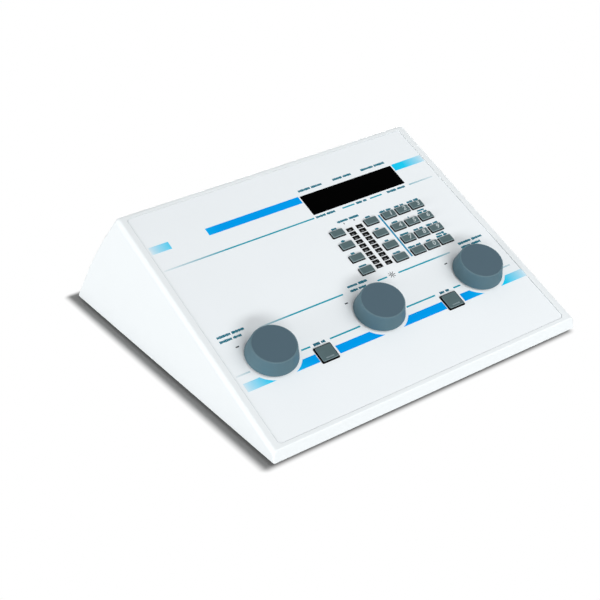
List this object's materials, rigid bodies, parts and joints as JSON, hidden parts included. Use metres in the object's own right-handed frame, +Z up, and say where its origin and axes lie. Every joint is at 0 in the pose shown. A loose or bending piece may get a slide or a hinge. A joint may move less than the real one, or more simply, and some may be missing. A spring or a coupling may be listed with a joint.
{
  "type": "desktop audiometer",
  "caption": "Wedge-shaped desktop audiometer with a sloping printed panel, turning knobs, keypad, push buttons, level lamps, dark display window and rear sockets.",
  "frame": {"origin": "on the table, under the middle of the case's footprint", "axes": "+X to the user's right, +Y from the user to the back, +Z up"},
  "size_m": [0.303, 0.3664, 0.1279],
  "materials": {
    "case_white": "smooth moulded plastic, very fine grain",
    "base_grey": "lightly textured moulded plastic",
    "foot_rubber": "matt rubber",
    "screw_steel": "zinc-plated steel",
    "panel_aluminium": "mill finish",
    "overlay_print": "satin printed sheet",
    "window_black": "polished",
    "tube_glass": "glass display tube",
    "board_green": "solder-masked board",
    "lamp_lens": "unlit diffusing lens",
    "trim_black": "black moulding",
    "switch_black": "moulded",
    "encoder_metal": "plated body",
    "nut_nickel": "nickel plate",
    "spacer_brass": "turned",
    "chip_black": "moulded packages",
    "ribbon_grey": "flat cable",
    "connector_plate_paint": "satin paint",
    "socket_black": "moulded",
    "key_grey": "satin moulded plastic",
    "knob_slate": "satin moulded plastic",
    "knob_cap_dark": "fine matt plastic",
    "rocker_black": "moulded"
  },
  "bodies": {
    "case": {"housing_shell": "case_white", "base_plate": "base_grey", "rubber_feet": "foot_rubber", "case_screws": "screw_steel", "panel_plate": "panel_aluminium", "panel_overlay": "overlay_print", "display_window": "window_black", "display_tube": "tube_glass", "display_board": "board_green", "leds": "lamp_lens", "led_bezels": "trim_black", "key_switches": "switch_black", "key_board": "board_green", "button_bezels": "trim_black", "button_switches": "switch_black", "encoder_bodies": "encoder_metal", "encoder_nuts": "nut_nickel", "control_board": "board_green", "board_spacers": "spacer_brass", "board_screws": "screw_steel", "main_board": "board_green", "board_parts": "chip_black", "ribbon_cable": "ribbon_grey", "connector_plate": "connector_plate_paint", "jack_sockets": "socket_black", "jack_nuts": "nut_nickel", "dc_inlet": "socket_black", "power_switch_body": "socket_black"},
    "key_a1": {"key_a1": "key_grey"},
    "key_b1": {"key_b1": "key_grey"},
    "key_1": {"key_1": "key_grey"},
    "key_2": {"key_2": "key_grey"},
    "key_3": {"key_3": "key_grey"},
    "key_a2": {"key_a2": "key_grey"},
    "key_b2": {"key_b2": "key_grey"},
    "key_4": {"key_4": "key_grey"},
    "key_5": {"key_5": "key_grey"},
    "key_6": {"key_6": "key_grey"},
    "key_a3": {"key_a3": "key_grey"},
    "key_b3": {"key_b3": "key_grey"},
    "key_7": {"key_7": "key_grey"},
    "key_8": {"key_8": "key_grey"},
    "key_9": {"key_9": "key_grey"},
    "key_a4": {"key_a4": "key_grey"},
    "key_b4": {"key_b4": "key_grey"},
    "key_lower_left": {"key_lower_left": "key_grey"},
    "key_0": {"key_0": "key_grey"},
    "key_lower_right": {"key_lower_right": "key_grey"},
    "button_left": {"button_left": "key_grey"},
    "button_right": {"button_right": "key_grey"},
    "knob_left": {"knob_left": "knob_slate", "knob_cap_left": "knob_cap_dark", "encoder_shaft_left": "screw_steel"},
    "knob_middle": {"knob_middle": "knob_slate", "knob_cap_middle": "knob_cap_dark", "encoder_shaft_middle": "screw_steel"},
    "knob_right": {"knob_right": "knob_slate", "knob_cap_right": "knob_cap_dark", "encoder_shaft_right": "screw_steel"},
    "power_rocker": {"power_rocker": "rocker_black"}
  },
  "joints": [
    {"name": "key_a1_press", "type": "slide", "parent": "case", "child": "key_a1", "axis": [0, 0.447, -0.8945], "range_m": [0, 0.0006], "stiffness_N_per_m": 1200, "springref_m": -0.0004},
    {"name": "key_b1_press", "type": "slide", "parent": "case", "child": "key_b1", "axis": [0, 0.447, -0.8945], "range_m": [0, 0.0006], "stiffness_N_per_m": 1200, "springref_m": -0.0004},
    {"name": "key_1_press", "type": "slide", "parent": "case", "child": "key_1", "axis": [0, 0.447, -0.8945], "range_m": [0, 0.0006], "stiffness_N_per_m": 1200, "springref_m": -0.0004},
    {"name": "key_2_press", "type": "slide", "parent": "case", "child": "key_2", "axis": [0, 0.447, -0.8945], "range_m": [0, 0.0006], "stiffness_N_per_m": 1200, "springref_m": -0.0004},
    {"name": "key_3_press", "type": "slide", "parent": "case", "child": "key_3", "axis": [0, 0.447, -0.8945], "range_m": [0, 0.0006], "stiffness_N_per_m": 1200, "springref_m": -0.0004},
    {"name": "key_a2_press", "type": "slide", "parent": "case", "child": "key_a2", "axis": [0, 0.447, -0.8945], "range_m": [0, 0.0006], "stiffness_N_per_m": 1200, "springref_m": -0.0004},
    {"name": "key_b2_press", "type": "slide", "parent": "case", "child": "key_b2", "axis": [0, 0.447, -0.8945], "range_m": [0, 0.0006], "stiffness_N_per_m": 1200, "springref_m": -0.0004},
    {"name": "key_4_press", "type": "slide", "parent": "case", "child": "key_4", "axis": [0, 0.447, -0.8945], "range_m": [0, 0.0006], "stiffness_N_per_m": 1200, "springref_m": -0.0004},
    {"name": "key_5_press", "type": "slide", "parent": "case", "child": "key_5", "axis": [0, 0.447, -0.8945], "range_m": [0, 0.0006], "stiffness_N_per_m": 1200, "springref_m": -0.0004},
    {"name": "key_6_press", "type": "slide", "parent": "case", "child": "key_6", "axis": [0, 0.447, -0.8945], "range_m": [0, 0.0006], "stiffness_N_per_m": 1200, "springref_m": -0.0004},
    {"name": "key_a3_press", "type": "slide", "parent": "case", "child": "key_a3", "axis": [0, 0.447, -0.8945], "range_m": [0, 0.0006], "stiffness_N_per_m": 1200, "springref_m": -0.0004},
    {"name": "key_b3_press", "type": "slide", "parent": "case", "child": "key_b3", "axis": [0, 0.447, -0.8945], "range_m": [0, 0.0006], "stiffness_N_per_m": 1200, "springref_m": -0.0004},
    {"name": "key_7_press", "type": "slide", "parent": "case", "child": "key_7", "axis": [0, 0.447, -0.8945], "range_m": [0, 0.0006], "stiffness_N_per_m": 1200, "springref_m": -0.0004},
    {"name": "key_8_press", "type": "slide", "parent": "case", "child": "key_8", "axis": [0, 0.447, -0.8945], "range_m": [0, 0.0006], "stiffness_N_per_m": 1200, "springref_m": -0.0004},
    {"name": "key_9_press", "type": "slide", "parent": "case", "child": "key_9", "axis": [0, 0.447, -0.8945], "range_m": [0, 0.0006], "stiffness_N_per_m": 1200, "springref_m": -0.0004},
    {"name": "key_a4_press", "type": "slide", "parent": "case", "child": "key_a4", "axis": [0, 0.447, -0.8945], "range_m": [0, 0.0006], "stiffness_N_per_m": 1200, "springref_m": -0.0004},
    {"name": "key_b4_press", "type": "slide", "parent": "case", "child": "key_b4", "axis": [0, 0.447, -0.8945], "range_m": [0, 0.0006], "stiffness_N_per_m": 1200, "springref_m": -0.0004},
    {"name": "key_lower_left_press", "type": "slide", "parent": "case", "child": "key_lower_left", "axis": [0, 0.447, -0.8945], "range_m": [0, 0.0006], "stiffness_N_per_m": 1200, "springref_m": -0.0004},
    {"name": "key_0_press", "type": "slide", "parent": "case", "child": "key_0", "axis": [0, 0.447, -0.8945], "range_m": [0, 0.0006], "stiffness_N_per_m": 1200, "springref_m": -0.0004},
    {"name": "key_lower_right_press", "type": "slide", "parent": "case", "child": "key_lower_right", "axis": [0, 0.447, -0.8945], "range_m": [0, 0.0006], "stiffness_N_per_m": 1200, "springref_m": -0.0004},
    {"name": "button_left_press", "type": "slide", "parent": "case", "child": "button_left", "axis": [0, 0.447, -0.8945], "range_m": [0, 0.001], "stiffness_N_per_m": 800, "springref_m": -0.001},
    {"name": "button_right_press", "type": "slide", "parent": "case", "child": "button_right", "axis": [0, 0.447, -0.8945], "range_m": [0, 0.001], "stiffness_N_per_m": 800, "springref_m": -0.001},
    {"name": "knob_left_turn", "type": "hinge", "parent": "case", "child": "knob_left", "pos_m": [-0.1049, -0.11573, 0.05243], "axis": [0, -0.447, 0.8945], "continuous": true},
    {"name": "knob_middle_turn", "type": "hinge", "parent": "case", "child": "knob_middle", "pos_m": [0, -0.11573, 0.05243], "axis": [0, -0.447, 0.8945], "continuous": true},
    {"name": "knob_right_turn", "type": "hinge", "parent": "case", "child": "knob_right", "pos_m": [0.1049, -0.11573, 0.05243], "axis": [0, -0.447, 0.8945], "continuous": true},
    {"name": "power_rocker_tilt", "type": "hinge", "parent": "case", "child": "power_rocker", "pos_m": [-0.0795, 0.12576, 0.05867], "axis": [0, 0.7347, -0.6784], "range_deg": [0, 14]}
  ]
}
